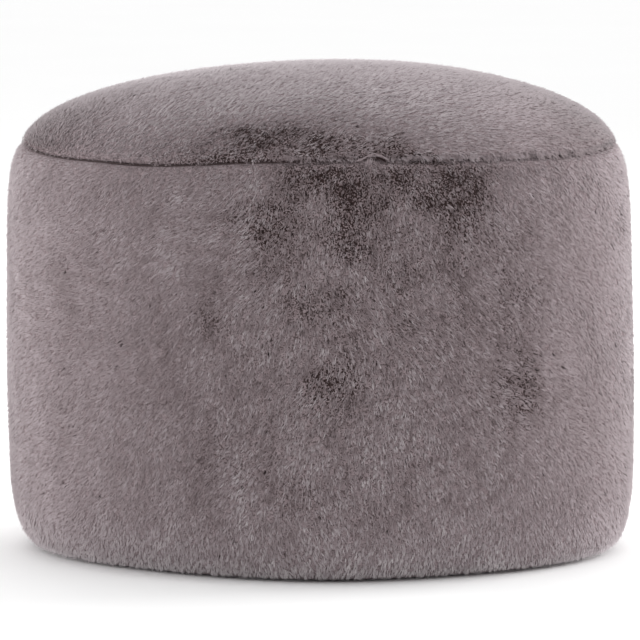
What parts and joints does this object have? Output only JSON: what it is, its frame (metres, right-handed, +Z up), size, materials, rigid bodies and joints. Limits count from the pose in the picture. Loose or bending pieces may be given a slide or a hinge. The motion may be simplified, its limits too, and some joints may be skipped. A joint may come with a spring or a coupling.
{
  "type": "bean bag footstool",
  "caption": "Round bean bag footstool in short plush pile, with a crowned top panel, a softly bulged side panel and a flat base panel.",
  "frame": {"origin": "on the floor, under the middle of the stool", "axes": "+Z up; -Y is the front in the picture, +X is its right"},
  "size_m": [0.4996, 0.5004, 0.385],
  "materials": {
    "plush_pile": "short dense plush pile, taupe grey with a mauve cast",
    "base_cloth": "plain woven cloth, dark grey"
  },
  "bodies": {
    "root": {"top_panel": "plush_pile", "side_panel": "plush_pile", "base_panel": "base_cloth"}
  },
  "joints": []
}
